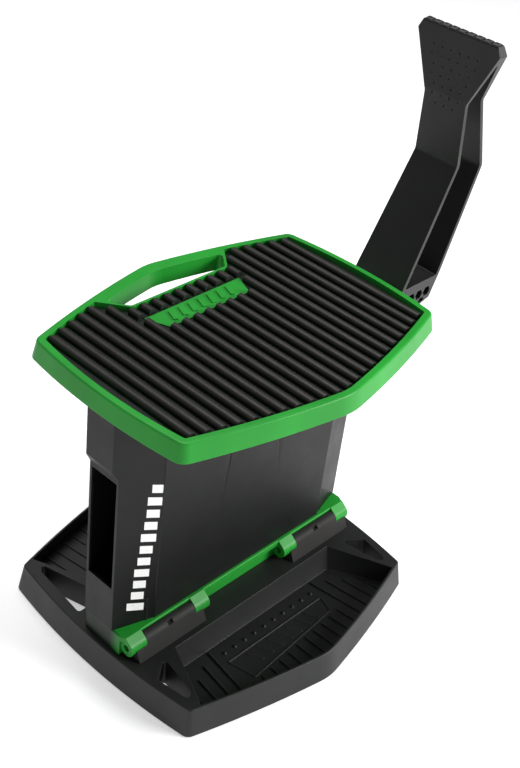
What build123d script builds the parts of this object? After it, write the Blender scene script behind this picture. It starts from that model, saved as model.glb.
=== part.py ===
from build123d import *
import math
import os

# Lift stand: a low base with two foot trays, a hollow column hinged along its
# foot, and a ribbed platform that a foot lever raises. Millimetres.
# X runs along the hinge line towards the lever, Y across, Z up.
# The origin lies on the floor below the middle of the base.

# ---- base ----
base_half_length = 168.9
base_corner_y = 136.5
base_half_width = 177.3
base_side_bulge = 2.7
base_end_bulge = 11.6
base_height = 33.5
base_draft = 5.8
base_wall = 4.0
foot_gap = 1.5
rim_wall = 4.0
corner_radius = 10.0
least_radius = 1.5
nose_radius = 70.0

# ---- foot trays ----
tray_inner_y = 62.0
tray_half_length = base_half_length - 50.9
tray_flare = 0.45
tray_floor_half = base_half_length - 61.9
tray_floor_flare = 0.6
tray_floor_top = 8.0
tray_floor_thickness = 3.5
tray_wall_angle = 20.0
tray_rib_height = 1.8
tray_rib_width = 1.8
tray_rib_fan = 0.09
tray_rib_most_fan = 8.0
tray_stud_radius = 2.2
panel_inner_y = 96.0
panel_outer_y = 124.0
panel_slant = 0.09
panel_inner_half = 74.0
panel_outer_half = 66.0
panel_line = 1.5
panel_gap = 4.0
hole_wall = 2.5

# ---- feet ----
foot_radius = 9.0
foot_sunk = 3.0
foot_boss_wall = 4.0
foot_inset_x = 31.0
foot_inset_y = 5.5
foot_side_inset = 18.3

# ---- shared rib pitch of the trays and the mat ----
rib_pitch = 15.0

# ---- hinge ----
column_bottom = 60.0
hinge_y = -39.5
knuckle_radius = 9.5
hinge_z = column_bottom - 13.0
knuckle_length = 20.0
knuckle_inner_x = 58.0
barrel_length = 67.4
barrel_radius = knuckle_radius - 0.3
hinge_side_gap = 0.3
hinge_pin_radius = 4.0
running_gap = 0.05
pin_recess = 9.0
block_overhang = 11.0
block_front_y = 55.3
block_depth = 22.0
hinge_clearance = 0.6
moving_gap = 0.5

# ---- column ----
column_end_x = 177.0
column_low_x = 170.0
column_face_x = 125.0
column_face_y = 35.0
column_end_y = 18.5
panel_step = 1.0
panel_step_width = 0.6
column_wall = 3.0
step_low = 255.0
step_high = 268.0
window_bottom = 116.0
window_top = 250.0
frame_front_y = 38.0
frame_rear_margin = 0.5
frame_end_x = 169.0
frame_front_radius = 8.0
frame_rear_radius = 4.0
frame_lip = 6.5
frame_floor = 4.0
frame_wall = 9.0
foot_screw_x = 133.0
foot_screw_y = 14.5
window_half = 17.6
open_half = 14.5
flute_inner_x = 24.0
flute_outer_x = 44.0
flute_foot_z = 146.0
flute_depth = 1.3
block_screw_grip = 8.0
screw_boss_radius = 6.0
axle_boss_radius = 13.0

# ---- platform ----
deck_half_length = 172.8
deck_corner_y = 100.0
deck_half_width = 141.5
deck_side_bulge = 3.6
deck_end_bulge = 8.0
deck_top = 350.0
rim_height = 19.0
rim_draft = 4.0
rim_width = 7.0
rim_round = 2.5
deck_plate_top = deck_top - 8.5
deck_plate_thickness = 3.5
mat_gap = 0.4
mat_base = 3.0
mat_rib_width = 9.0
mat_rib_top = deck_top + 1.0
handle_inner_y = 90.0
handle_half_length = 64.0
handle_flare = 0.8
handle_bar = 15.0
handle_wall = 2.5
handle_radius = 5.0
rib_end_gap = 1.5
badge_inner_y = 44.0
badge_outer_y = 70.0
badge_half_length = 65.0

# ---- riser and lift mechanism ----
lift_travel = 80.0
lever_travel = 84.0
riser_half_length = 118.0
riser_wall = 3.0
riser_gap = 0.4
pad_thickness = 2.0
flange_thickness = 8.0
flange_half_length = 132.0
flange_half_width = 46.0
deck_screw_inset = 8.0
roller_radius = 12.0
roller_pin_radius = 5.0
roller_half_width = 7.5
bracket_plate = 2.5
cam_gap = 0.3
cam_half_width = 6.0
cam_start_turn = 0.35
cam_overrun = 0.06
cam_tail = 56.0
cam_bolt_stations = (32.0, 47.0)

# ---- lever ----
pivot_x = 140.0
pivot_z = 165.0
hub_radius = 20.0
axle_radius = 6.0
bush_wall = 2.0
tongue_half_width = 12.0
tongue_half_height = 15.0
tongue_angle = 55.6
strip = 4.5
pedal_half_width = 51.0
pedal_tip_half_width = 45.0
waist_half_width = 26.3
root_half_width = 33.0
lever_reach = 425.5
loop_floor = 161.0
cell_size = 10.8
cell_wall = 2.7
web_half = 2.0
teeth_pitch = 10.4
teeth_count = 10
dimple_pitch = 9.5
dimple_radius = 1.5
dimple_depth = 0.8

# ---- fasteners ----
screw_radius = 2.0
screw_clearance = 0.3
head_radius = 4.0
head_height = 2.5

cam_base_radius = lift_travel / math.radians(lever_travel)
frame_bottom = base_height + moving_gap
knuckle_outer_x = knuckle_inner_x + 2 * knuckle_length + barrel_length + 2 * hinge_side_gap
barrel_start = knuckle_inner_x + knuckle_length + hinge_side_gap
flange_bottom = deck_plate_top - deck_plate_thickness - flange_thickness
column_top = flange_bottom - 1.0
taper_slope = (column_face_y - panel_step - column_end_y) / (column_end_x - column_face_x)
lever_top = pivot_z + lever_reach


def hexagon_outline(half_length, corner_y, half_width, side_bulge, end_bulge, grow=0.0):
    """Six-sided plan with bowed sides and rounded corners, grown by a margin."""
    slope = (half_width - corner_y) / half_length
    far_x = half_length + grow
    far_y = half_width + grow * math.hypot(1, slope)
    near_y = far_y - slope * far_x
    corners = [
        (far_x, -near_y),
        (far_x, near_y),
        (0, far_y),
        (-far_x, near_y),
        (-far_x, -near_y),
        (0, -far_y),
    ]
    bulges = [end_bulge, side_bulge, side_bulge, end_bulge, side_bulge, side_bulge]
    edges = []
    for index, start in enumerate(corners):
        end = corners[(index + 1) % 6]
        along = Vector(end[0] - start[0], end[1] - start[1])
        outward = Vector(along.Y, -along.X).normalized()
        middle = Vector((start[0] + end[0]) / 2, (start[1] + end[1]) / 2)
        edges.append(ThreePointArc(start, middle + outward * bulges[index], end))
    face = make_face(edges)
    face = fillet([v for v in face.vertices() if abs(v.X) < 1], nose_radius + grow)
    end_points = [v for v in face.vertices() if abs(v.X) > far_x - 1]
    return fillet(end_points, max(least_radius, corner_radius + grow))


def base_outline(grow=0.0):
    return hexagon_outline(
        base_half_length, base_corner_y, base_half_width, base_side_bulge, base_end_bulge, grow
    )


def deck_outline(grow=0.0):
    return hexagon_outline(
        deck_half_length, deck_corner_y, deck_half_width, deck_side_bulge, deck_end_bulge, grow
    )


def drafted(outline, grow, bottom, height, inset):
    """Solid whose outline shrinks by inset from its bottom to its top."""
    low = Pos(0, 0, bottom) * outline(grow)
    high = Pos(0, 0, bottom + height) * outline(grow - inset)
    return loft([low, high], ruled=True)


def taper_y(x):
    """Half width of the column's tapered panels at a station."""
    return column_face_y - panel_step - taper_slope * (x - column_face_x)


axle_half = taper_y(pivot_x + axle_boss_radius) - 3.5


def column_plan(grow=0.0, end_x=column_end_x):
    """Plan of the column: a flat face on each side, then sunk tapered panels."""
    step_x = column_face_x + panel_step_width
    quarter = [(column_face_x, column_face_y), (step_x, taper_y(step_x)), (end_x, taper_y(end_x))]
    if grow:
        quarter.pop(1)
    right = quarter + [(x, -y) for x, y in reversed(quarter)]
    left = [(-x, y) for x, y in reversed(right)]
    face = make_face(Polyline(*right, *left, close=True))
    if grow:
        face = offset(face, grow, kind=Kind.INTERSECTION)
    return face


# ---------------------------------------------------------------- base body

def tray_region(inner, half, flare):
    """Plan of a foot tray before its outer side is cut to the rim."""
    far = 1.5 * base_half_width
    wide = half + flare * (far - inner)
    return make_face(Polyline((-half, inner), (half, inner), (wide, far), (-wide, far), close=True))


def tray_recess(side, margin=0.0):
    """The sunk foot tray on one side, grown by a wall when margin is given."""
    floor = tray_floor_top - margin
    inset = (base_height - floor) * math.tan(math.radians(tray_wall_angle))
    inner = tray_inner_y - margin
    floor_half = tray_floor_half + margin + tray_floor_flare * inset
    low = tray_region(inner + inset, floor_half, tray_floor_flare)
    high = tray_region(inner, tray_half_length + margin, tray_flare)
    recess = loft([Pos(0, 0, floor) * low, Pos(0, 0, base_height) * high], ruled=True)
    recess = recess & drafted(base_outline, margin - rim_wall, floor, base_height, base_draft)
    if side < 0:
        recess = mirror(recess, Plane.XZ)
    return recess


def corner_hole(side, end, margin=0.0):
    """Rounded through hole between a tray and the rim, placed from the base's corner."""
    if side < 0:
        points = [(32, 71.5), (8, 54.5), (15, 15.5), (24, 23.5)]
    else:
        points = [(37, 72.5), (31, 96.5), (7, 96.5), (14, 25.5), (21, 16.5)]
    placed = [(end * (base_half_length - x), side * (base_corner_y - y)) for x, y in points]
    face = make_face(Polyline(*placed, close=True))
    face = fillet(face.vertices(), 3.0)
    if margin:
        face = offset(face, margin, kind=Kind.ARC)
    return extrude(face, base_height + 1)


def panel_edge_y(x):
    """Outer edge of the tray's outlined panel, which runs at a slight slant."""
    return panel_outer_y - panel_slant * x


def tray_details(side):
    """Ribs, studs and the plain outlined panel of one tray."""
    low = tray_floor_top - 0.6
    ribs = []
    count = 19
    height = tray_rib_height + 0.6
    turn_y = panel_outer_y + 18
    for index in range(count):
        x = (index - (count - 1) / 2) * rib_pitch
        inner = panel_edge_y(x) + panel_gap
        if abs(x) > panel_inner_half + 2:
            inner = 74 + 0.7 * (abs(x) - 6 * rib_pitch)
        turn = max(-tray_rib_most_fan, min(tray_rib_most_fan, -tray_rib_fan * x))
        length = base_half_width - inner
        rib = Pos(0, inner - turn_y + length / 2, 0) * Box(tray_rib_width, length, height)
        ribs.append(Pos(x, turn_y, low + height / 2) * Rot(0, 0, turn) * rib)
    ribs = Part() + ribs
    ribs = ribs & tray_recess(1, 1.0)
    studs = []
    for index in range(10):
        x = (index - 4.5) * rib_pitch
        studs.append(Pos(x, panel_inner_y - 10, tray_floor_top) * Sphere(tray_stud_radius))
    panel = make_face(Polyline(
        (-panel_inner_half, panel_inner_y),
        (panel_inner_half, panel_inner_y),
        (panel_outer_half, panel_edge_y(panel_outer_half)),
        (-panel_outer_half, panel_edge_y(-panel_outer_half)),
        close=True,
    ))
    border = panel - offset(panel, -panel_line, kind=Kind.INTERSECTION)
    frame = extrude(Pos(0, 0, low) * border, 1.5)
    bars = []
    for index in range(7):
        x = (index - 3) * rib_pitch
        bar = Pos(x, (panel_inner_y + panel_outer_y) / 2, low + 0.6) * Rot(0, 0, -30)
        bars.append(bar * Box(3, 18, 1.2))
    details = Part() + [ribs, frame] + studs + bars
    if side < 0:
        details = mirror(details, Plane.XZ)
    return details


def make_base_tray():
    outer = drafted(base_outline, 0, foot_gap, base_height - foot_gap, base_draft)
    outer = fillet(outer.faces().sort_by(Axis.Z)[-1].edges(), 1.6)
    inner = drafted(base_outline, -base_wall, 0, base_height - base_wall, base_draft)
    keep = []
    for side in (-1, 1):
        keep.append(tray_recess(side, tray_floor_thickness))
        for end in (-1, 1):
            keep.append(corner_hole(side, end, hole_wall))
    for x in (-90, -45, 0, 45, 90):
        keep.append(Pos(x, 0, base_height / 2) * Box(3, 2 * base_half_width, base_height))
    for y in (-30, 30):
        keep.append(Pos(0, y, base_height / 2) * Box(2 * base_half_length, 3, base_height))
    for x, y in foot_places():
        keep.append(Pos(x, y, base_height / 2) * Cylinder(foot_radius + foot_boss_wall, base_height))
    for x, y in block_screw_places():
        keep.append(Pos(x, y, base_height - 6) * Cylinder(7, 12))
    cavity = inner
    for solid in keep:
        cavity = cavity - solid
    body = outer - cavity
    for side in (-1, 1):
        body = body - tray_recess(side)
        for end in (-1, 1):
            body = body - corner_hole(side, end)
    for side in (-1, 1):
        body = body + tray_details(side)
    for x, y in foot_places():
        body = body - Pos(x, y, foot_gap + foot_sunk / 2) * Cylinder(foot_radius, foot_sunk)
    for x, y in block_screw_places():
        body = body - Pos(x, y, base_height - 15) * Cylinder(screw_radius + screw_clearance, 40)
        body = body - Pos(x, y, base_height / 2 - 6) * Cylinder(head_radius + 1, base_height - 12)
    return body


def foot_places():
    """A foot at each corner, at the middle of each long side and at the centre."""
    corner_x = base_half_length - foot_inset_x
    corner_y = base_corner_y - foot_inset_y
    side_y = base_half_width - foot_side_inset
    corners = [(x, y) for x in (-corner_x, corner_x) for y in (-corner_y, corner_y)]
    return corners + [(0, -side_y), (0, 0), (0, side_y)]


def block_screw_places():
    middle = barrel_start + barrel_length / 2
    reach = barrel_length / 2 - 8
    places = []
    for end in (-1, 1):
        places.append((end * (middle - reach), hinge_y))
        places.append((end * (middle + reach), hinge_y))
    return places


def make_rubber_feet():
    height = foot_gap + foot_sunk
    pad = Pos(0, 0, height / 2) * Cylinder(foot_radius - 0.1, height)
    pad = fillet(pad.faces().sort_by(Axis.Z)[0].edges(), 0.8)
    return Compound([Pos(x, y, 0) * pad for x, y in foot_places()])


def along_x(radius, start, end, y=hinge_y, z=hinge_z):
    """Cylinder along X between two stations."""
    return Pos((start + end) / 2, y, z) * Rot(0, 90, 0) * Cylinder(radius, end - start)


def along_y(radius, start, end, x, z):
    """Cylinder along Y between two stations."""
    return Pos(x, (start + end) / 2, z) * Rot(90, 0, 0) * Cylinder(radius, end - start)


def touch_point(y, z, radius, way):
    """Where a line from a point in the YZ plane touches a circle about the hinge."""
    reach = math.hypot(y - hinge_y, z - hinge_z)
    angle = math.atan2(z - hinge_z, y - hinge_y) + way * math.acos(radius / reach)
    return (hinge_y + radius * math.cos(angle), hinge_z + radius * math.sin(angle))


def make_hinge_blocks():
    """Two foot blocks on the base, each with a barrel between two knuckles."""
    front = -block_front_y
    shelf = hinge_z - knuckle_radius - hinge_clearance
    low_x = knuckle_inner_x + knuckle_length / 2
    high_x = knuckle_outer_x - block_overhang / 2
    section = make_face(Polyline(
        (front, base_height),
        touch_point(front, base_height, barrel_radius, -1),
        (hinge_y, hinge_z),
        (hinge_y + 3, shelf),
        (front + block_depth, shelf),
        (front + block_depth, base_height),
        close=True,
    ))
    block = Pos(low_x, 0, 0) * extrude(Plane.YZ * section, high_x - low_x)
    barrel_end = barrel_start + barrel_length
    for start, end in ((0, barrel_start), (barrel_end, 2 * knuckle_outer_x)):
        block = block - along_x(knuckle_radius + hinge_clearance, start, end)
        above = Box(end - start, 4 * knuckle_radius, 4 * knuckle_radius)
        block = block - Pos((start + end) / 2, hinge_y, hinge_z + 2 * knuckle_radius) * above
    block = block + along_x(barrel_radius, barrel_start, barrel_end)
    block = block - along_x(hinge_pin_radius, 0, 2 * knuckle_outer_x)
    socket = Pos(barrel_start + barrel_length / 2, hinge_y - 6.5, hinge_z + 7.5) * Box(7, 6, 6)
    block = block - socket
    for x, y in block_screw_places():
        block = block - Pos(x, y, base_height) * Cylinder(screw_radius, 2 * block_screw_grip)
    return Compound([block, mirror(block, Plane.YZ)])


def make_hinge_pins():
    start = knuckle_inner_x + pin_recess
    end = knuckle_outer_x - pin_recess
    right = along_x(hinge_pin_radius, start, end)
    right = chamfer(right.edges(), 0.5)
    return Compound([right, mirror(right, Plane.YZ)])


def vertical_screw(x, y, tip, length, head_up=True):
    """Pan-head screw along Z, tip is the height of its end."""
    low = min(tip, tip + length)
    shank = Pos(x, y, low + abs(length) / 2) * Cylinder(screw_radius, abs(length))
    place = tip + length
    middle = place + head_height / 2 if head_up else place - head_height / 2
    head = Pos(x, y, middle) * Cylinder(head_radius, head_height)
    drive = Pos(x, y, place + head_height if head_up else place - head_height) * Box(1.2, 5, 2)
    return (shank + head) - drive


def make_block_screws():
    under = base_height - 12
    screws = []
    for x, y in block_screw_places():
        screws.append(vertical_screw(x, y, base_height + block_screw_grip, -12 - block_screw_grip, False))
    return Compound(screws)


# -------------------------------------------------------------- column body

def frame_plan():
    """Plan of the hinge frame: straight at the hinge, like the column behind."""
    end_y = taper_y(frame_end_x) + frame_rear_margin
    face_y = column_face_y + frame_rear_margin
    plan = make_face(Polyline(
        (-frame_end_x, -frame_front_y),
        (frame_end_x, -frame_front_y),
        (frame_end_x, end_y),
        (column_face_x, face_y),
        (-column_face_x, face_y),
        (-frame_end_x, end_y),
        close=True,
    ))
    plan = fillet(plan.vertices().group_by(Axis.Y)[0], frame_front_radius)
    return fillet(plan.vertices().filter_by(lambda v: v.Y > 0), frame_rear_radius)


def column_screw_places():
    return [(x, y) for x in (-foot_screw_x, foot_screw_x) for y in (-foot_screw_y, foot_screw_y)]


def make_hinge_frame():
    height = column_bottom - frame_bottom
    body = extrude(Pos(0, 0, frame_bottom) * frame_plan(), height)
    body = fillet(body.faces().sort_by(Axis.Z)[-1].edges(), 1.2)
    pocket = column_plan(-frame_wall, column_low_x)
    body = body - extrude(Pos(0, 0, frame_bottom + frame_floor) * pocket, height)
    lip_low = column_bottom - frame_lip
    under = Box(2 * frame_end_x + 2, 12, lip_low - frame_bottom)
    body = body - Pos(0, -frame_front_y, (lip_low + frame_bottom) / 2) * under
    arm_section = make_face(Polyline(
        (-frame_front_y, column_bottom),
        touch_point(-frame_front_y, column_bottom, knuckle_radius, 1),
        (hinge_y, hinge_z),
        (10 - frame_front_y, hinge_z),
        (10 - frame_front_y, column_bottom),
        close=True,
    ))
    arm = extrude(Plane.YZ * arm_section, knuckle_length)
    for end in (-1, 1):
        for start in (knuckle_inner_x, knuckle_outer_x - knuckle_length):
            low, high = sorted((end * start, end * (start + knuckle_length)))
            body = body + along_x(knuckle_radius, low, high)
            body = body + Pos(low, 0, 0) * arm
        gap_start = barrel_start - hinge_side_gap
        gap_end = barrel_start + barrel_length + hinge_side_gap
        low, high = sorted((end * gap_start, end * gap_end))
        body = body - along_x(knuckle_radius + hinge_clearance, low, high)
        below = Box(high - low, 12, 2 * knuckle_radius)
        body = body - Pos((low + high) / 2, -frame_front_y, hinge_z - knuckle_radius) * below
    body = body - along_x(hinge_pin_radius + running_gap, -2 * frame_end_x, 2 * frame_end_x)
    for x, y in column_screw_places():
        body = body - Pos(x, y, frame_bottom) * Cylinder(screw_radius + screw_clearance, 30)
        body = body - Pos(x, y, frame_bottom) * Cylinder(head_radius + 0.5, 2 * head_height)
    return body


def column_outer():
    """Outer form of the column: wider at the top than where the windows are."""
    upper = extrude(Pos(0, 0, step_high) * column_plan(), column_top - step_high)
    lower = extrude(
        Pos(0, 0, column_bottom) * column_plan(0, column_low_x), step_low - column_bottom
    )
    step = loft(
        [Pos(0, 0, step_low) * column_plan(0, column_low_x), Pos(0, 0, step_high) * column_plan()],
        ruled=True,
    )
    return upper + step + lower


def face_flute():
    """Tapering flute of the broad face, deepest along its inner side."""
    top = column_top + 1
    width = flute_outer_x - flute_inner_x
    face = make_face(Polyline((-width, top), (0, top), (-1, flute_foot_z), close=True))
    tilt = -math.degrees(math.atan(flute_depth / width))
    cutter = extrude(Plane.XZ * face, 5)
    return Pos(flute_outer_x, -column_face_y - 0.05, 0) * Rot(0, 0, tilt) * cutter


def make_column_shell(side):
    """One half of the column, side is -1 towards the hinge or 1 behind."""
    half = Pos(0, side * 100, 200) * Box(600, 200, 600)
    shell = column_outer()
    inner_end = column_low_x - column_wall
    cavity = extrude(Pos(0, 0, column_bottom - 1) * column_plan(-column_wall, inner_end + column_wall), 400)
    shell = shell - cavity
    window_height = window_top - window_bottom
    window = Box(60, 2 * window_half, window_height)
    for end in (-1, 1):
        opening = Pos(end * column_low_x, 0, window_bottom + window_height / 2) * window
        shell = shell - opening
    for flute in (face_flute(), mirror(face_flute(), Plane.YZ)):
        if side > 0:
            flute = mirror(flute, Plane.XZ)
        shell = shell - flute
    rib_inner = column_face_y - column_wall
    rib_y = (rib_inner + open_half) / 2
    rib_height = column_top - 8 - window_bottom
    for end in (-1, 1):
        rib = Box(column_wall, rib_inner - open_half + 1, rib_height)
        rib_x = riser_half_length + riser_gap + column_wall / 2
        for y_side in (-1, 1):
            shell = shell + Pos(end * rib_x, y_side * (rib_y + 0.5), window_bottom + rib_height / 2) * rib
    boss_out = taper_y(pivot_x + axle_boss_radius) - 0.5
    for y_side in (-1, 1):
        low, high = sorted((y_side * (open_half - 1), y_side * boss_out))
        shell = shell + along_y(axle_boss_radius, low, high, pivot_x, pivot_z)
    shell = shell - along_y(axle_radius, -axle_half, axle_half, pivot_x, pivot_z)
    for x, z in shell_screw_places():
        boss_end = taper_y(abs(x) + screw_boss_radius) - 0.5
        shell = shell + along_y(screw_boss_radius, -boss_end, boss_end, x, z)
        shell = shell - along_y(screw_radius, -boss_end + 4, 1, x, z)
        shell = shell - along_y(screw_radius + screw_clearance, 0, 60, x, z)
        shell = shell - along_y(head_radius + 0.5, boss_end - 3, 60, x, z)
    for x, y in column_screw_places():
        foot = frame_bottom + frame_floor
        height = window_bottom - 26 - foot
        shell = shell + Pos(x, y, foot + height / 2) * Cylinder(6, height)
        web_y = (y + math.copysign(column_face_y - column_wall, y)) / 2
        web_length = column_face_y - column_wall - abs(y)
        web_height = foot + height - column_bottom
        web = Box(column_wall, web_length, web_height)
        shell = shell + Pos(x, web_y, column_bottom + web_height / 2) * web
        shell = shell - Pos(x, y, foot + 8) * Cylinder(screw_radius, 24)
    return shell & half


def make_shell_screws():
    screws = []
    for x, z in shell_screw_places():
        boss_end = taper_y(abs(x) + screw_boss_radius) - 0.5
        tip = -boss_end + 6
        seat = boss_end - 3
        shank = along_y(screw_radius, tip, seat, x, z)
        head = along_y(head_radius, seat, seat + head_height, x, z)
        drive = Pos(x, seat + head_height, z) * Box(1.2, 2, 5)
        screws.append(shank + head - drive)
    return Compound(screws)


def shell_screw_places():
    return [(x, z) for x in (-150, 150) for z in (92, 300)]


def make_frame_screws():
    length = 14
    screws = []
    for x, y in column_screw_places():
        seat = frame_bottom + head_height
        screws.append(vertical_screw(x, y, seat + length, -length, False))
    return Compound(screws)


def make_lever_axle():
    return along_y(axle_radius, -axle_half, axle_half, pivot_x, pivot_z)


def make_thrust_washers():
    washers = []
    for side in (-1, 1):
        low, high = sorted((side * (tongue_half_width + 0.4), side * (open_half - 1)))
        ring = along_y(axle_radius + 5, low, high, pivot_x, pivot_z)
        washers.append(ring - along_y(axle_radius, low - 1, high + 1, pivot_x, pivot_z))
    return Compound(washers)


def make_guide_pads():
    """Low-friction strips inside the shells that the riser slides between."""
    pads = []
    inner = column_face_y - column_wall
    height = 70
    for x in (-95, 95):
        for side in (-1, 1):
            strip_y = side * (inner - pad_thickness / 2)
            pads.append(Pos(x, strip_y, column_top - 10 - height / 2) * Box(24, pad_thickness, height))
    return Compound(pads)


# ------------------------------------------------------------ platform body

riser_half_width = column_face_y - column_wall - pad_thickness - riser_gap
contact_x = pivot_x - cam_base_radius
contact_z = pivot_z + cam_base_radius * cam_start_turn
roller_z = contact_z + roller_radius
beam_bottom = roller_z + roller_radius + 4
riser_bottom = roller_z - 4


def make_riser():
    """Inner column with a top flange and a beam that carries the roller."""
    height = flange_bottom + 1 - riser_bottom
    middle = riser_bottom + height / 2
    tube = Pos(0, 0, middle) * Box(2 * riser_half_length, 2 * riser_half_width, height)
    tube = fillet(tube.edges().filter_by(Axis.Z), 3.0)
    inside = Box(2 * (riser_half_length - riser_wall), 2 * (riser_half_width - riser_wall), height)
    tube = tube - Pos(0, 0, middle) * inside
    flange = Box(2 * flange_half_length, 2 * flange_half_width, flange_thickness)
    flange = fillet(flange.edges().filter_by(Axis.Z), 12.0)
    body = tube + Pos(0, 0, flange_bottom + flange_thickness / 2) * flange
    for x in (-60, 0, 60):
        rib = Box(riser_wall, 2 * riser_half_width - 2, height - 60)
        body = body + Pos(x, 0, riser_bottom + 60 + (height - 60) / 2) * rib
    beam = Box(44, 2 * riser_half_width - 2, 6)
    body = body + Pos(contact_x, 0, beam_bottom + 3) * beam
    for shift in (-18, 18):
        web_height = flange_bottom + 1 - beam_bottom
        web = Box(riser_wall, 2 * riser_half_width - 2, web_height)
        body = body + Pos(contact_x + shift, 0, beam_bottom + web_height / 2) * web
    for x in bracket_screw_places():
        body = body - Pos(x, 0, beam_bottom) * Cylinder(screw_radius, 20)
    for x, y in deck_screw_places():
        body = body - Pos(x, y, flange_bottom) * Cylinder(screw_radius, 40)
    return body


def bracket_screw_places():
    return [contact_x - 13, contact_x + 13]


def make_roller_bracket():
    """Folded steel bracket that holds the roller below the beam."""
    half = roller_half_width + 1.0
    top = Box(38, 2 * (half + bracket_plate), bracket_plate)
    body = Pos(contact_x, 0, beam_bottom - bracket_plate / 2) * top
    low = roller_z - roller_pin_radius - 2
    height = beam_bottom - low
    for side in (-1, 1):
        y = side * (half + bracket_plate / 2)
        cheek = Box(15, bracket_plate, height)
        body = body + Pos(contact_x, y, low + height / 2) * cheek
    body = body - along_y(roller_pin_radius, -40, 40, contact_x, roller_z)
    for x in bracket_screw_places():
        body = body - Pos(x, 0, beam_bottom) * Cylinder(screw_radius + screw_clearance, 20)
    return body


def make_bracket_screws():
    seat = beam_bottom - bracket_plate
    return Compound([vertical_screw(x, 0, seat + 8, -8, False) for x in bracket_screw_places()])


def make_roller_pin():
    half = roller_half_width + 1.0 + bracket_plate
    pin = along_y(roller_pin_radius, -half - 0.5, half, contact_x, roller_z)
    head = along_y(roller_pin_radius + 2, half, half + 1.5, contact_x, roller_z)
    return pin + head


def make_roller():
    wheel = along_y(roller_radius, -roller_half_width, roller_half_width, contact_x, roller_z)
    wheel = chamfer(wheel.edges(), 0.6)
    bore = along_y(roller_pin_radius + running_gap, -20, 20, contact_x, roller_z)
    return wheel - bore


def handle_zone(margin=0.0):
    """Plan from the slot's inner edge out past the rim, widening outwards."""
    far = 2 * deck_half_width
    wide = handle_half_length + handle_flare * (far - handle_inner_y)
    zone = make_face(Polyline(
        (-handle_half_length, handle_inner_y),
        (handle_half_length, handle_inner_y),
        (wide, far),
        (-wide, far),
        close=True,
    ))
    zone = fillet(zone.vertices().group_by(Axis.Y)[0], handle_radius)
    if margin:
        zone = offset(zone, margin, kind=Kind.INTERSECTION)
    return zone


def handle_slot(margin=0.0):
    """Plan of the carrying-handle slot beside the rear rim."""
    slot = handle_zone(margin) & deck_outline(margin - handle_bar)
    corners = slot.vertices().group_by(Axis.X)
    return fillet(corners[0] + corners[-1], handle_radius + margin)


def badge_plan(margin=0.0):
    half = badge_half_length + margin
    return make_face(Polyline(
        (-half + 11, badge_inner_y - margin),
        (half - 11, badge_inner_y - margin),
        (half, badge_outer_y + margin),
        (-half, badge_outer_y + margin),
        close=True,
    ))


def deck_screw_places():
    far_x = flange_half_length - deck_screw_inset
    far_y = flange_half_width - deck_screw_inset
    return [(x, y) for x in (-far_x, 0, far_x) for y in (-far_y, far_y)]


def make_platform_frame():
    bottom = deck_top - rim_height
    body = drafted(deck_outline, rim_draft, bottom, rim_height, rim_draft)
    body = fillet(body.faces().sort_by(Axis.Z)[-1].edges(), rim_round)
    recess = deck_outline(-rim_width) - handle_zone(handle_wall)
    body = body - extrude(Pos(0, 0, deck_plate_top) * recess, rim_height)
    under = deck_plate_top - deck_plate_thickness
    hollow = Pos(0, 0, bottom - 1) * deck_outline(-rim_width)
    hollow = extrude(hollow, under - bottom + 1)
    ribs = []
    for index in range(9):
        x = (index - 4) * 2.5 * rib_pitch
        ribs.append(Pos(x, 0, bottom + 10) * Box(2.5, 2 * deck_half_width, 20))
    for y in (-72, 72):
        ribs.append(Pos(0, y, bottom + 10) * Box(2 * deck_half_length, 2.5, 20))
    seat = Box(2 * flange_half_length + 2, 2 * flange_half_width + 2, 60)
    collar = extrude(Pos(0, 0, bottom - 2) * handle_slot(handle_wall), 40)
    for rib in ribs:
        hollow = hollow - (rib - Pos(0, 0, bottom) * seat)
    hollow = hollow - collar
    body = body - hollow
    slot = extrude(Pos(0, 0, bottom - 2) * handle_slot(), 40)
    body = body - slot
    for x, y in deck_screw_places():
        body = body - Pos(x, y, deck_plate_top) * Cylinder(screw_radius + screw_clearance, 40)
        body = body - Pos(x, y, deck_plate_top) * Cylinder(head_radius + 0.4, 2 * head_height)
    return body


def make_rubber_mat():
    plan = deck_outline(-rim_width - mat_gap)
    plan = plan - handle_zone(handle_wall + mat_gap) - badge_plan(mat_gap)
    base = extrude(Pos(0, 0, deck_plate_top) * plan, mat_base)
    ribs = []
    root = deck_plate_top + mat_base - 0.5
    rib_height = mat_rib_top - root
    crown = mat_rib_width / 2
    section = make_face([
        Line((-crown, 0), (crown, 0)),
        Line((crown, 0), (crown, rib_height - crown)),
        ThreePointArc((crown, rib_height - crown), (0, rib_height), (-crown, rib_height - crown)),
        Line((-crown, rib_height - crown), (-crown, 0)),
    ])
    for index in range(22):
        x = (index - 10.5) * rib_pitch
        for low, high in rib_spans(plan, x, crown):
            prism = extrude(Plane.XZ * section, -(high - low))
            ribs.append(Pos(x, low, root) * prism)
    return base + ribs


def rib_spans(plan, x, half_width):
    """Stretches along Y where a rib lies wholly on the plan, less an end gap."""
    spans = None
    for edge_x in (x - half_width, x + half_width):
        line = Edge.make_line((edge_x, -300, 0), (edge_x, 300, 0))
        pieces = (line & plan).edges()
        found = [tuple(sorted((e.start_point().Y, e.end_point().Y))) for e in pieces]
        if spans is None:
            spans = found
            continue
        pairs = [(max(a[0], b[0]), min(a[1], b[1])) for a in spans for b in found]
        spans = [(low, high) for low, high in pairs if high - low > 2 * rib_end_gap + 2]
    return [(low + rib_end_gap, high - rib_end_gap) for low, high in spans]


def make_badge_plate():
    """Plain name plate with slanted bars in place of lettering."""
    plate = extrude(Pos(0, 0, deck_plate_top) * badge_plan(), 4.0)
    bars = []
    middle = (badge_inner_y + badge_outer_y) / 2
    for index in range(7):
        bar = Pos((index - 3) * 13, middle, deck_plate_top + 4.6) * Rot(0, 0, -20) * Box(5, 15, 1.8)
        bars.append(bar)
    return plate + bars


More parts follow.
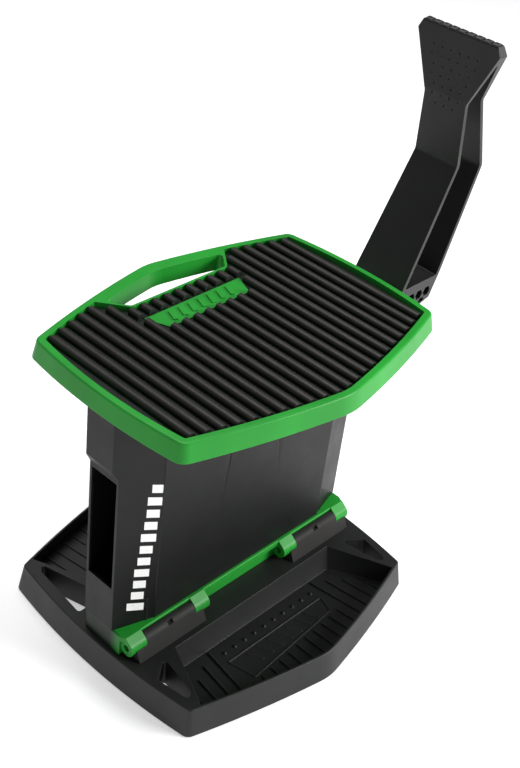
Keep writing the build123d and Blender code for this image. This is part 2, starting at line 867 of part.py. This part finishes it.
def make_deck_screws():
    screws = []
    for x, y in deck_screw_places():
        seat = deck_plate_top - head_height
        screws.append(vertical_screw(x, y, flange_bottom + 1, seat - flange_bottom - 1, True))
    return Compound(screws)


# --------------------------------------------------------------- lever body

def tongue_point(along, across):
    """Point on the tongue, measured from the pivot along and across it."""
    angle = math.radians(tongue_angle)
    x = pivot_x + along * math.cos(angle) - across * math.sin(angle)
    z = pivot_z + along * math.sin(angle) + across * math.cos(angle)
    return (x, z)


def from_pivot(points):
    """Points measured from the lever's pivot, placed in the stand."""
    return [(pivot_x + x, pivot_z + z) for x, z in points]


lever_front = from_pivot([(74, 164), (136.5, 288), (130.5, 359), (135.3, lever_reach)])
lever_back = from_pivot([(144.5, lever_reach), (161, 359), (185, 278), (124, 128)])
lever_root_front = from_pivot([(65, 143)])[0]
lever_root_back = from_pivot([(112, 103)])[0]
loop_tip = from_pivot([(139.9, 408)])[0]


def lever_side_outline():
    """Outline of the lever seen along Y, from its tongue to its pedal."""
    rest = [
        lever_root_back,
        tongue_point(108, -tongue_half_height),
        tongue_point(0, -tongue_half_height),
        tongue_point(0, tongue_half_height),
        tongue_point(128, tongue_half_height),
        lever_root_front,
    ]
    radii = [3, 10, 12, 4, 4, 12, 10, 3] + [0] * len(rest)
    return make_face(FilletPolyline(*lever_front, *lever_back, *rest, radius=radii, close=True))


def inset_corner(before, corner, after, gap):
    """Where the two lines through a corner meet once moved to their right."""
    lines = []
    for start, end in ((before, corner), (corner, after)):
        along = (Vector(*end) - Vector(*start)).normalized()
        lines.append((Vector(*start) + Vector(along.Y, -along.X) * gap, along))
    (first, first_way), (second, second_way) = lines
    across = second - first
    turn = first_way.X * second_way.Y - first_way.Y * second_way.X
    reach = (across.X * second_way.Y - across.Y * second_way.X) / turn
    place = first + first_way * reach
    return (place.X, place.Y)


def lever_loop():
    """Gap between the two plates of the lever, pointed towards the pedal."""
    foot, bend, neck, top = lever_front
    back_top, back_neck, back_bend, back_foot = lever_back
    level = pivot_z + loop_floor
    corners = [
        level_point(foot, bend, level),
        inset_corner(foot, bend, neck, strip),
        inset_corner(bend, neck, top, strip),
        loop_tip,
        inset_corner(back_top, back_neck, back_bend, strip),
        inset_corner(back_neck, back_bend, back_foot, strip),
        level_point(back_bend, back_foot, level),
    ]
    return make_face(FilletPolyline(*corners, radius=[2, 8, 14, 1.2, 14, 8, 2], close=True))


def level_point(start, end, level):
    """Where a plate's inner face crosses a level."""
    along = (Vector(*end) - Vector(*start)).normalized()
    place = Vector(*start) + Vector(along.Y, -along.X) * strip
    place = place + along * ((level - place.Y) / along.Y)
    return (place.X, place.Y)


def lever_front_outline():
    """Outline of the lever seen along X: narrow tongue, waist and wide pedal."""
    below = 65.0
    side = [
        (0, pivot_z - below),
        (tongue_half_width, pivot_z - below),
        (tongue_half_width, pivot_z + 97),
        (root_half_width, pivot_z + 135),
        (root_half_width, pivot_z + 165),
        (waist_half_width + 1.7, pivot_z + 288),
        (waist_half_width, pivot_z + 356),
        (pedal_half_width, lever_top - 11.5),
        (pedal_tip_half_width, lever_top + 1.5),
        (0, lever_top + 1.5),
    ]
    radii = [0, 0, 0, 3, 3, 20, 12, 2, 0, 0]
    half = make_face(FilletPolyline(*side, radius=radii, close=True))
    return half + mirror(half, Plane.YZ)


def make_lever_arm():
    profile = extrude(Plane.XZ * lever_side_outline(), 2 * pedal_half_width, both=True)
    loop = extrude(Plane.XZ * lever_loop(), 2 * pedal_half_width, both=True)
    limit = extrude(Plane.YZ * lever_front_outline(), 3 * pivot_x)
    body = (profile - loop) & limit
    body = body + along_y(hub_radius, -tongue_half_width, tongue_half_width, pivot_x, pivot_z)
    body = body - extrude(Plane.XZ * cam_room(), cam_half_width + 0.1, both=True)
    body = body - along_y(axle_radius + bush_wall, -60, 60, pivot_x, pivot_z)
    for along in cam_bolt_stations:
        x, z = tongue_point(along, 0)
        body = body - along_y(screw_radius + 1, -60, 60, x, z)
    depth = pedal_half_width
    cell = Rot(90, 0, 0) * extrude(RegularPolygon(cell_size / 2, 6, major_radius=False), depth)
    for x, z in comb_cells():
        for y in (-web_half, web_half + depth):
            body = body - Pos(x, y, z) * cell
    pedal_x = (lever_front[-1][0] + lever_back[0][0]) / 2
    for index in range(teeth_count):
        y = (index - (teeth_count - 1) / 2) * teeth_pitch
        body = body - Pos(pedal_x, y, lever_top + 0.6) * Rot(0, 90, 0) * Cylinder(2.4, 40)
    for x, y, z in pedal_dimples():
        body = body - along_x(dimple_radius, x - 5, x + dimple_depth, y, z)
    return body


def comb_cells():
    """Centres of the honeycomb cells that lighten the lever's root."""
    pitch = cell_size + cell_wall
    row = pitch * math.sqrt(3) / 2
    least = cell_size / 2 + 2
    cells = []
    for i in range(-4, 5):
        for j in range(-3, 1):
            x = pivot_x + 106 + i * pitch + (j % 2) * pitch / 2
            z = pivot_z + 145 + j * row
            if min(plate_room(x, z), z - lever_root_back[1]) > least:
                cells.append((x, z))
    return cells


def plate_room(x, z):
    """Distance from a point at the root to the inner face of the nearer plate."""
    room = []
    for start, end in (lever_front[:2], lever_back[2:]):
        along = (Vector(*end) - Vector(*start)).normalized()
        room.append((x - start[0]) * along.Y - (z - start[1]) * along.X)
    return min(room) - strip / 2


def pedal_dimples():
    """Grip dimples in staggered rows on the pedal's front face."""
    spots = []
    for row in range(7):
        z = lever_front[2][1] - 12 + row * dimple_pitch
        count = 3 + row // 2 + row % 2
        for index in range(count):
            y = (index - (count - 1) / 2) * 11
            spots.append((lever_face_x(z), y, z))
    return spots


def lever_face_x(z):
    """Station of the pedal's front face at a height."""
    for (x0, z0), (x1, z1) in zip(lever_front, lever_front[1:]):
        if z0 <= z <= z1:
            return x0 + (x1 - x0) * (z - z0) / (z1 - z0)
    return lever_front[-1][0]


def cam_point(turn):
    """Point of the involute lift face, in the rest pose."""
    height = cam_base_radius * turn - cam_gap
    back = turn - cam_start_turn
    x = -cam_base_radius * math.cos(back) - height * math.sin(back)
    z = -cam_base_radius * math.sin(back) + height * math.cos(back)
    return (pivot_x + x, pivot_z + z)


def cam_outline():
    """Lift face, nose and tail of the cam plate."""
    span = math.radians(lever_travel)
    first = cam_start_turn - cam_overrun
    last = cam_start_turn + span + cam_overrun
    count = 9
    points = [cam_point(first + (last - first) * index / (count - 1)) for index in range(count)]
    face = Spline(*points)
    nose = points[-1]
    nose_end = (nose[0] + 6, nose[1] - 7)
    tail_low = tongue_point(cam_tail, -11)
    tail_high = tongue_point(cam_tail, 11)
    closing = Polyline(
        nose,
        nose_end,
        (pivot_x - 10, pivot_z - hub_radius + 2),
        (pivot_x + 12, pivot_z - hub_radius + 6),
        tail_low,
        tail_high,
        (pivot_x - 4, pivot_z + hub_radius - 1),
        points[0],
    )
    return make_face([face] + closing.edges())


def cam_room():
    """Slot in the tongue that takes the cam plate."""
    return make_face(Polyline(
        tongue_point(-40, -26),
        tongue_point(cam_tail + 0.2, -26),
        tongue_point(cam_tail + 0.2, 26),
        tongue_point(-40, 26),
        close=True,
    ))


def make_lift_cam():
    plate = extrude(Plane.XZ * cam_outline(), cam_half_width, both=True)
    plate = plate - along_y(axle_radius + bush_wall, -30, 30, pivot_x, pivot_z)
    for along in cam_bolt_stations:
        x, z = tongue_point(along, 0)
        plate = plate - along_y(screw_radius + 1, -30, 30, x, z)
    x, z = cam_point(cam_start_turn + 1.1)
    dx, dz = (pivot_x - x) * 0.42, (pivot_z - z) * 0.42
    return plate - along_y(9, -30, 30, x + dx, z + dz)


def make_cam_bolts():
    bolts = []
    for along in cam_bolt_stations:
        x, z = tongue_point(along, 0)
        bolts.append(along_y(screw_radius + 1, -tongue_half_width, tongue_half_width, x, z))
    return Compound(bolts)


def make_lever_bush():
    ring = along_y(axle_radius + bush_wall, -tongue_half_width, tongue_half_width, pivot_x, pivot_z)
    return ring - along_y(axle_radius + running_gap, -30, 30, pivot_x, pivot_z)


# ------------------------------------------------------------------- output

nodes = {
    "base_tray": make_base_tray,
    "rubber_feet": make_rubber_feet,
    "hinge_blocks": make_hinge_blocks,
    "hinge_pins": make_hinge_pins,
    "block_screws": make_block_screws,
    "hinge_frame": make_hinge_frame,
    "column_front": lambda: make_column_shell(-1),
    "column_rear": lambda: make_column_shell(1),
    "shell_screws": make_shell_screws,
    "frame_screws": make_frame_screws,
    "lever_axle": make_lever_axle,
    "thrust_washers": make_thrust_washers,
    "guide_pads": make_guide_pads,
    "riser": make_riser,
    "roller_bracket": make_roller_bracket,
    "bracket_screws": make_bracket_screws,
    "roller_pin": make_roller_pin,
    "lift_roller": make_roller,
    "platform_frame": make_platform_frame,
    "rubber_mat": make_rubber_mat,
    "badge_plate": make_badge_plate,
    "deck_screws": make_deck_screws,
    "lever_arm": make_lever_arm,
    "lift_cam": make_lift_cam,
    "cam_bolts": make_cam_bolts,
    "lever_bush": make_lever_bush,
}


def main():
    os.makedirs("parts", exist_ok=True)
    for name, maker in nodes.items():
        export_step(maker(), f"parts/{name}.step")


if __name__ == "__main__":
    main()
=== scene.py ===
import bmesh
import bpy
import math
from mathutils import Matrix, Vector


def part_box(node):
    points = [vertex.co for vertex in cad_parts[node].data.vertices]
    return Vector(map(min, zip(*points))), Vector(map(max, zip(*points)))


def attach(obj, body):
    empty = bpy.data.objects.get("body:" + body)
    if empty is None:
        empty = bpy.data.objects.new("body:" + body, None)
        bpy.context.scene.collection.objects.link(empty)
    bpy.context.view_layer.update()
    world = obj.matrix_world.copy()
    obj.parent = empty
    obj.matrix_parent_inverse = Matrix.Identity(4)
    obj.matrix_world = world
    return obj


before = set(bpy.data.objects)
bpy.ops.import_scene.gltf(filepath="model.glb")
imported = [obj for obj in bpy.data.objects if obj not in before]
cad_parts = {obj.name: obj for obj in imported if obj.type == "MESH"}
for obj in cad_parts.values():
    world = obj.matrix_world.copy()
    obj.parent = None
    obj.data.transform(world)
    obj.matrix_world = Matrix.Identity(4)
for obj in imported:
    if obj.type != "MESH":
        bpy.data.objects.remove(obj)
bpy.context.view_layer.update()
millimetre = 0.001


# ---------------------------------------------------------------- node helpers

class Finish:
    """A material under construction: its node tree, shader and object coordinates."""

    def __init__(self, name):
        self.material = bpy.data.materials.new(name)
        self.material.use_nodes = True
        self.tree = self.material.node_tree
        self.tree.nodes.clear()
        self.shader = self.add("ShaderNodeBsdfPrincipled")
        output = self.add("ShaderNodeOutputMaterial")
        self.join(self.shader.outputs["BSDF"], output.inputs["Surface"])
        self.place = self.add("ShaderNodeTexCoord").outputs["Object"]

    @classmethod
    def copied(cls, material, name):
        """A copy of a finished material, open for more nodes."""
        finish = cls.__new__(cls)
        finish.material = material.copy()
        finish.material.name = name
        finish.tree = finish.material.node_tree
        finish.shader = next(node for node in finish.tree.nodes if node.type == "BSDF_PRINCIPLED")
        finish.place = finish.add("ShaderNodeTexCoord").outputs["Object"]
        return finish

    def add(self, kind, **values):
        node = self.tree.nodes.new(kind)
        for key, value in values.items():
            setattr(node, key, value)
        return node

    def join(self, start, end):
        self.tree.links.new(start, end)

    def stretched(self, scale):
        mapping = self.add("ShaderNodeMapping")
        mapping.inputs["Scale"].default_value = scale
        self.join(self.place, mapping.inputs["Vector"])
        return mapping.outputs["Vector"]

    def noise(self, scale, detail=2.0, roughness=0.5, place=None):
        node = self.add("ShaderNodeTexNoise")
        node.inputs["Scale"].default_value = scale
        node.inputs["Detail"].default_value = detail
        node.inputs["Roughness"].default_value = roughness
        self.join(place or self.place, node.inputs["Vector"])
        return node.outputs["Fac"]

    def ramp(self, value, low, high, out_low=0.0, out_high=1.0):
        node = self.add("ShaderNodeMapRange")
        node.inputs["From Min"].default_value = low
        node.inputs["From Max"].default_value = high
        node.inputs["To Min"].default_value = out_low
        node.inputs["To Max"].default_value = out_high
        self.join(value, node.inputs["Value"])
        return node.outputs["Result"]

    def math(self, kind, first, second):
        node = self.add("ShaderNodeMath", operation=kind)
        for socket, value in zip(node.inputs, (first, second)):
            if isinstance(value, (int, float)):
                socket.default_value = value
            else:
                self.join(value, socket)
        return node.outputs[0]

    def mixed(self, share, first, second):
        node = self.add("ShaderNodeMix", data_type="RGBA")
        colours = [s for s in node.inputs if s.type == "RGBA"]
        self.join(share, node.inputs[0])
        for socket, value in zip(colours, (first, second)):
            if isinstance(value, tuple):
                socket.default_value = (*value, 1.0)
            else:
                self.join(value, socket)
        return [s for s in node.outputs if s.type == "RGBA"][0]

    def rounded(self, radius):
        node = self.add("ShaderNodeBevel", samples=4)
        node.inputs["Radius"].default_value = radius
        return node.outputs["Normal"]

    def edge_share(self, radius, low=0.02, high=0.35):
        """How near a point is to an outer or inner edge, 0 on flat faces."""
        geometry = self.add("ShaderNodeNewGeometry")
        dot = self.add("ShaderNodeVectorMath", operation="DOT_PRODUCT")
        self.join(self.rounded(radius), dot.inputs[0])
        self.join(geometry.outputs["Normal"], dot.inputs[1])
        turned = self.math("SUBTRACT", 1.0, dot.outputs["Value"])
        return self.ramp(turned, low, high)

    def bump(self, height, strength, depth, normal=None):
        node = self.add("ShaderNodeBump")
        node.inputs["Strength"].default_value = strength
        node.inputs["Distance"].default_value = depth
        self.join(height, node.inputs["Height"])
        if normal is not None:
            self.join(normal, node.inputs["Normal"])
        return node.outputs["Normal"]


def moulded(name, colour, rough, grain, grain_depth, edge_colour, edge_radius, specular=0.5, coat=0.0):
    """Moulded plastic: eroded grain, faint flow marks, edges lightened partly as rubbed wear and partly as a
    painted edge highlight.
    """
    finish = Finish(name)
    shader = finish.shader
    shader.inputs["Specular IOR Level"].default_value = specular
    shader.inputs["Coat Weight"].default_value = coat
    shader.inputs["Coat Roughness"].default_value = 0.22
    flow = finish.noise(9.0, 4.0, 0.55, finish.stretched((1.0, 1.0, 0.35)))
    dark = tuple(c * 0.82 for c in colour)
    light = tuple(min(1.0, c * 1.18) for c in colour)
    body = finish.mixed(finish.ramp(flow, 0.3, 0.7), dark, light)
    # Edges lighten towards edge_colour in patches: partly rubbed wear, partly a painted edge highlight.
    edges = finish.edge_share(edge_radius)
    edge_patches = finish.ramp(finish.noise(65.0, 5.0, 0.7), 0.38, 0.62, 0.35, 1.0)
    rubbed_and_highlit_edges = finish.math("MULTIPLY", edges, edge_patches)
    finish.join(finish.mixed(rubbed_and_highlit_edges, body, edge_colour), shader.inputs["Base Color"])
    smears = finish.noise(30.0, 6.0, 0.62)
    finish.join(finish.ramp(smears, 0.25, 0.75, rough - 0.06, rough + 0.07), shader.inputs["Roughness"])
    grain_height = finish.noise(grain, 3.0, 0.6)
    soft_edges = finish.rounded(0.8 * millimetre)
    finish.join(finish.bump(grain_height, 1.0, grain_depth, soft_edges), shader.inputs["Normal"])
    return finish.material


def painted_end_shade(material, name, dark):
    """Copy of a finish with painted shade: darkens the faces at both ends along X, where the frame end sits
    in shadow below the column.
    """
    finish = Finish.copied(material, name)
    colour = finish.shader.inputs["Base Color"].links[0].from_socket
    axes = finish.add("ShaderNodeSeparateXYZ")
    finish.join(finish.place, axes.inputs[0])
    reach = finish.add("ShaderNodeMath", operation="ABSOLUTE")
    finish.join(axes.outputs["X"], reach.inputs[0])
    # Painted shade: the end faces behind the front lip are darkened towards the dark colour.
    at_end = finish.ramp(reach.outputs[0], 166.2 * millimetre, 168.7 * millimetre)
    behind_lip = finish.ramp(axes.outputs["Y"], -36.0 * millimetre, -18.0 * millimetre)
    share = finish.math("MULTIPLY", at_end, behind_lip)
    finish.join(finish.mixed(share, colour, dark), finish.shader.inputs["Base Color"])
    return finish.material


def ribbed_rubber(name):
    """Ribbed mat rubber: dusty crowns; valleys darker and greenish as painted shade and painted green bounce
    light from the tray.
    """
    finish = Finish(name)
    shader = finish.shader
    shader.inputs["Specular IOR Level"].default_value = 0.32
    axes = finish.add("ShaderNodeSeparateXYZ")
    finish.join(finish.place, axes.inputs[0])
    low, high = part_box("rubber_mat")
    # Painted shade and painted green bounce light: colour darkens and turns greenish from the rib crowns down
    # into the valleys.
    depth = finish.ramp(axes.outputs["Z"], high.z - 5.5 * millimetre, high.z - 0.6 * millimetre)
    painted_valley_shade, crown, dusty = (0.003, 0.009, 0.004), (0.016, 0.015, 0.013), (0.026, 0.024, 0.021)
    dust = finish.ramp(finish.noise(38.0, 6.0, 0.65), 0.35, 0.75)
    top = finish.mixed(dust, crown, dusty)
    finish.join(finish.mixed(depth, painted_valley_shade, top), shader.inputs["Base Color"])
    finish.join(finish.ramp(finish.noise(55.0, 5.0, 0.6), 0.3, 0.7, 0.36, 0.52), shader.inputs["Roughness"])
    pores = finish.noise(1400.0, 3.0, 0.7)
    soft_edges = finish.rounded(0.6 * millimetre)
    finish.join(finish.bump(pores, 1.0, 0.06 * millimetre, soft_edges), shader.inputs["Normal"])
    return finish.material


def foot_rubber(name):
    finish = Finish(name)
    shader = finish.shader
    bloom = finish.ramp(finish.noise(90.0, 5.0, 0.6), 0.3, 0.7)
    finish.join(finish.mixed(bloom, (0.018, 0.018, 0.018), (0.04, 0.039, 0.037)), shader.inputs["Base Color"])
    finish.join(finish.ramp(bloom, 0.0, 1.0, 0.6, 0.8), shader.inputs["Roughness"])
    finish.join(finish.bump(finish.noise(900.0), 1.0, 0.08 * millimetre), shader.inputs["Normal"])
    return finish.material


def plated_metal(name, colour, rough, streak_scale):
    """Plated or ground metal with fine streaks and a mottled plating."""
    finish = Finish(name)
    shader = finish.shader
    shader.inputs["Metallic"].default_value = 1.0
    mottle = finish.ramp(finish.noise(120.0, 4.0, 0.6), 0.3, 0.7)
    dull = tuple(c * 0.78 for c in colour)
    finish.join(finish.mixed(mottle, dull, colour), shader.inputs["Base Color"])
    streaks = finish.noise(60.0, 3.0, 0.6, finish.stretched(streak_scale))
    finish.join(finish.ramp(streaks, 0.3, 0.7, rough - 0.06, rough + 0.1), shader.inputs["Roughness"])
    soft_edges = finish.rounded(0.3 * millimetre)
    finish.join(finish.bump(streaks, 0.6, 0.03 * millimetre, soft_edges), shader.inputs["Normal"])
    return finish.material


def printed_ink(name):
    """White pad print, slightly thin where the grain below shows."""
    finish = Finish(name)
    shader = finish.shader
    thin = finish.ramp(finish.noise(420.0, 4.0, 0.7), 0.55, 0.78)
    finish.join(finish.mixed(thin, (0.86, 0.86, 0.85), (0.55, 0.55, 0.54)), shader.inputs["Base Color"])
    finish.join(finish.ramp(finish.noise(60.0), 0.3, 0.7, 0.38, 0.5), shader.inputs["Roughness"])
    finish.join(finish.bump(finish.noise(1500.0), 1.0, 0.02 * millimetre), shader.inputs["Normal"])
    return finish.material


def mesh_of(shape, name):
    mesh = bpy.data.meshes.new(name)
    shape.to_mesh(mesh)
    shape.free()
    return mesh


def linked(name, data):
    piece = bpy.data.objects.new(name, data)
    bpy.context.scene.collection.objects.link(piece)
    return piece


def paint_nodes(material, *nodes):
    for name in nodes:
        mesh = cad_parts[name].data
        mesh.materials.clear()
        mesh.materials.append(material)


# --------------------------------------------------------------------- finishes

black = moulded("black_shell_plastic", (0.0062, 0.0062, 0.0065), 0.44, 1100.0, 0.05 * millimetre,
                (0.045, 0.045, 0.046), 1.0 * millimetre, 0.25)
base_black = moulded("base_plastic", (0.0125, 0.0126, 0.013), 0.46, 1000.0, 0.06 * millimetre,
                     (0.085, 0.085, 0.086), 1.0 * millimetre, 0.40)
lever_black = moulded("lever_plastic", (0.013, 0.013, 0.0135), 0.44, 1300.0, 0.04 * millimetre,
                      (0.10, 0.10, 0.10), 1.2 * millimetre, 0.38)
barrel_black = moulded("hinge_block_plastic", (0.022, 0.021, 0.020), 0.60, 1200.0, 0.03 * millimetre,
                       (0.07, 0.066, 0.062), 0.9 * millimetre, 0.25)
green = moulded("green_plastic", (0.016, 0.295, 0.028), 0.38, 1500.0, 0.02 * millimetre,
                (0.05, 0.46, 0.06), 1.2 * millimetre, 0.28)
acetal = moulded("white_acetal", (0.72, 0.72, 0.69), 0.4, 900.0, 0.02 * millimetre,
                 (0.8, 0.8, 0.78), 0.5 * millimetre)
zinc = plated_metal("zinc_plating", (0.62, 0.63, 0.65), 0.34, (1.0, 1.0, 12.0))
ground_steel = plated_metal("ground_pin_steel", (0.56, 0.56, 0.58), 0.24, (14.0, 1.0, 1.0))
bronze = plated_metal("sintered_bronze", (0.62, 0.43, 0.2), 0.42, (1.0, 10.0, 1.0))

paint_nodes(black, "column_front", "column_rear", "riser")
paint_nodes(base_black, "base_tray")
paint_nodes(lever_black, "lever_arm")
paint_nodes(barrel_black, "hinge_blocks")
paint_nodes(green, "platform_frame", "badge_plate")
paint_nodes(painted_end_shade(green, "frame_plastic", (0.004, 0.012, 0.005)), "hinge_frame")
paint_nodes(ribbed_rubber("mat_rubber"), "rubber_mat")
paint_nodes(foot_rubber("foot_rubber"), "rubber_feet")
paint_nodes(acetal, "guide_pads", "thrust_washers", "lift_roller")
paint_nodes(zinc, "roller_bracket", "lift_cam", "cam_bolts", "block_screws", "frame_screws",
            "shell_screws", "bracket_screws", "deck_screws")
paint_nodes(ground_steel, "hinge_pins", "lever_axle", "roller_pin")
paint_nodes(bronze, "lever_bush")


# ----------------------------------------------------------------------- print

def printed_bars():
    """Plain slanted bars printed up the column's front panel at the free end."""
    panel_start = Vector((-125.6, -33.82, 0.0)) * millimetre
    panel_end = Vector((-170.0, -20.59, 0.0)) * millimetre
    along = (panel_end - panel_start).normalized()
    outward = along.cross(Vector((0.0, 0.0, 1.0))).normalized()
    if outward.y > 0:
        outward.negate()
    middle = panel_start + along * 21.5 * millimetre
    axes = Matrix((along, outward, Vector((0.0, 0.0, 1.0)))).transposed().to_4x4()
    slant = Matrix.Identity(4)
    slant[2][0] = 0.32
    bar_height, ink_depth, ink_lift = 10.0, 0.12, 0.03
    first_height, spacing, drift = 84.0, 15.0, 1.6
    lengths = (19.0, 14.0, 14.0, 16.5, 14.0, 14.0, 16.5, 14.0, 14.0, 16.5, 12.0)
    shape = bmesh.new()
    for index, length in enumerate(lengths):
        bar = bmesh.ops.create_cube(shape, size=1.0)["verts"]
        size = Matrix.Diagonal((length * millimetre, ink_depth * millimetre, bar_height * millimetre, 1.0))
        height = (first_height + spacing * index) * millimetre
        place = middle - along * drift * index * millimetre + outward * ink_lift * millimetre
        place = Matrix.Translation(place + Vector((0.0, 0.0, height)))
        bmesh.ops.transform(shape, matrix=place @ axes @ slant @ size, verts=bar)
    bmesh.ops.recalc_face_normals(shape, faces=shape.faces)
    piece = linked("panel_print", mesh_of(shape, "panel_print"))
    piece.data.materials.append(printed_ink("white_pad_print"))
    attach(piece, "column")


printed_bars()


# ------------------------------------------------------------------------ stage

def floor_sheet():
    shape = bmesh.new()
    bmesh.ops.create_grid(shape, x_segments=1, y_segments=1, size=9.0)
    floor = linked("studio_floor", mesh_of(shape, "studio_floor"))
    finish = Finish("studio_floor_paper")
    finish.shader.inputs["Base Color"].default_value = (0.86, 0.86, 0.86, 1.0)
    finish.shader.inputs["Roughness"].default_value = 0.9
    finish.shader.inputs["Specular IOR Level"].default_value = 0.0
    finish.shader.inputs["Emission Color"].default_value = (1.0, 1.0, 1.0, 1.0)
    finish.shader.inputs["Emission Strength"].default_value = 0.45
    floor.data.materials.append(finish.material)


def soft_light(name, place, target, size, energy, colour=(1.0, 1.0, 1.0)):
    light = bpy.data.lights.new(name, "AREA")
    light.shape = "DISK"
    light.size = size
    light.energy = energy
    light.color = colour
    lamp = linked(name, light)
    aim = Vector(target) - Vector(place)
    lamp.matrix_world = Matrix.Translation(place) @ aim.to_track_quat("-Z", "Y").to_matrix().to_4x4()


def room_light(strength):
    world = bpy.data.worlds.new("studio_room")
    world.use_nodes = True
    background = world.node_tree.nodes["Background"]
    background.inputs["Color"].default_value = (1.0, 1.0, 1.0, 1.0)
    background.inputs["Strength"].default_value = strength
    bpy.context.scene.world = world


def place_camera():
    turn, tilt, roll = (math.radians(angle) for angle in (-50.23, 35.24, 7.37))
    back = Vector((math.sin(turn) * math.cos(tilt), -math.cos(turn) * math.cos(tilt), math.sin(tilt)))
    right = (-back).cross(Vector((0, 0, 1))).normalized()
    up = right.cross(-back)
    rolled_right = math.cos(roll) * right + math.sin(roll) * up
    rolled_up = -math.sin(roll) * right + math.cos(roll) * up
    axes = Matrix((rolled_right, rolled_up, back)).transposed().to_4x4()
    lens = bpy.data.cameras.new("studio_camera")
    lens.sensor_width = 36.0
    lens.lens = 58.6
    camera = linked("studio_camera", lens)
    camera.matrix_world = Matrix.Translation((-0.7665, -0.6683, 1.0012)) @ axes
    bpy.context.scene.camera = camera


floor_sheet()
middle = (0.0, 0.0, 0.2)
soft_light("key_light", (1.4, -2.0, 1.4), middle, 1.4, 78.0)
soft_light("top_light", (0.3, 0.6, 2.6), middle, 1.8, 42.0)
soft_light("fill_light", (-2.2, -1.0, 0.9), middle, 1.6, 4.0)
room_light(0.16)
place_camera()
bpy.context.scene.view_settings.view_transform = "Standard"
bpy.context.scene.view_settings.look = "None"
